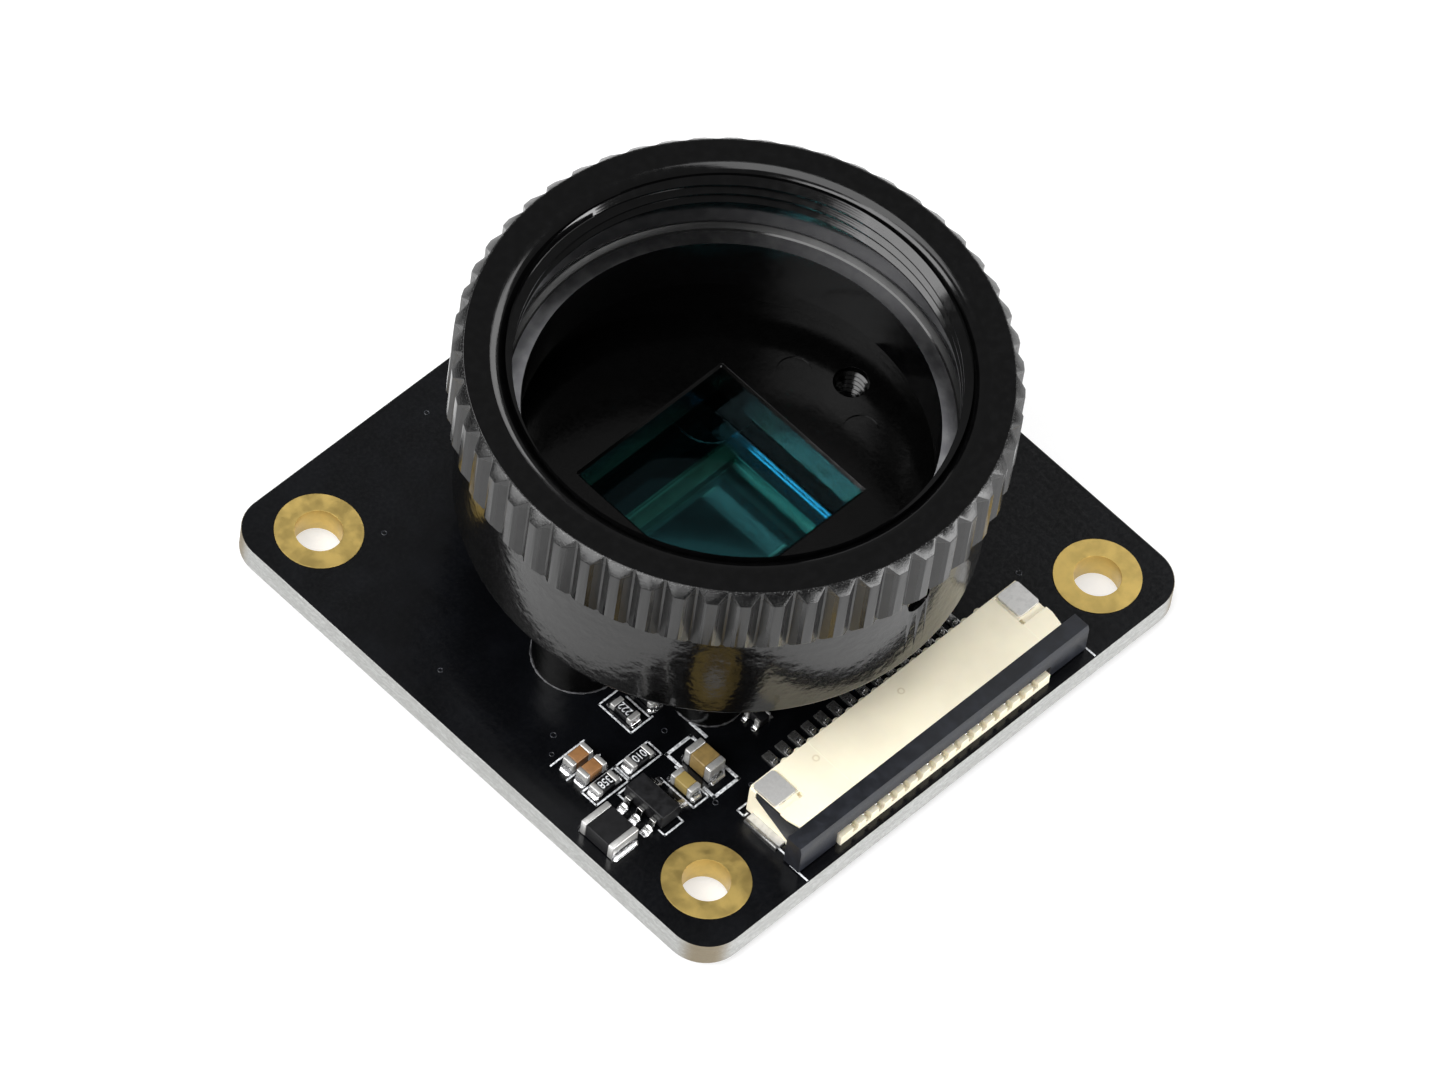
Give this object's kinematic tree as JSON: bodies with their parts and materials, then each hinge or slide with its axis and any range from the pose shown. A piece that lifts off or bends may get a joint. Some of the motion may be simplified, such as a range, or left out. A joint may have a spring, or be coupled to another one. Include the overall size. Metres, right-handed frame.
{
  "type": "camera module",
  "caption": "Square board camera module with an image sensor, a lens holder with a knurled C-mount adapter ring, and a sliding-latch flex connector.",
  "frame": {"origin": "on the optical axis, at the centre of the mounting holes on the board's rear face", "axes": "+Z along the optical axis, out of the lens thread; the flex connector lies along the -Y edge, and the power parts near the -X -Y corner"},
  "size_m": [0.038, 0.038, 0.0203],
  "materials": {
    "board_black": "black solder mask, satin gloss",
    "gold_plate": "gold plating, slightly brushed",
    "holder_black": "moulded black, glossy with slight orange peel",
    "ring_black": "black anodised, turned and knurled",
    "black_screw": "black oxide",
    "filter_glass": "blue-green coated optical glass",
    "sensor_ceramic": "sensor package, dark green",
    "sensor_silicon": "polished silicon with a teal sheen",
    "cover_glass": "clear coated glass",
    "housing_ivory": "moulded ivory nylon",
    "latch_black": "moulded blue-black nylon",
    "contact_tin": "tin plated",
    "tab_steel": "tin plated sheet",
    "solder": "bright reflowed solder",
    "moulded_epoxy": "moulded black epoxy",
    "inductor_ferrite": "pressed iron powder, dark grey",
    "capacitor_ochre": "fired ceramic, ochre",
    "capacitor_tan": "fired ceramic, tan brown",
    "resistor_glaze": "black glaze",
    "end_tin": "tin plated end caps"
  },
  "bodies": {
    "module": {"circuit_board": "board_black", "mounting_lands": "gold_plate", "lens_holder": "holder_black", "holder_screws": "black_screw", "set_screw": "black_screw", "ir_filter": "filter_glass", "sensor_package": "sensor_ceramic", "sensor_die": "sensor_silicon", "sensor_cover": "cover_glass", "flex_housing": "housing_ivory", "flex_contacts": "contact_tin", "flex_tabs": "tab_steel", "flex_solder": "solder", "regulator_body": "moulded_epoxy", "regulator_leads": "contact_tin", "inductor_body": "inductor_ferrite", "inductor_ends": "end_tin", "bulk_capacitor_body": "capacitor_ochre", "bulk_capacitor_ends": "end_tin", "capacitor_bodies": "capacitor_tan", "capacitor_ends": "end_tin", "resistor_bodies": "resistor_glaze", "resistor_ends": "end_tin", "line_filter_body": "moulded_epoxy", "line_filter_ends": "end_tin", "chip_solder": "solder"},
    "adapter": {"adapter_ring": "ring_black"},
    "latch": {"flex_latch": "latch_black"}
  },
  "joints": [
    {"name": "adapter_turn", "type": "hinge", "parent": "module", "child": "adapter", "pos_m": [0, 0, 0.0148], "axis": [0, 0, 1], "range_deg": [0, 1620]},
    {"name": "latch_slide", "type": "slide", "parent": "module", "child": "latch", "axis": [0, -1, 0], "range_m": [0, 0.0012]}
  ]
}
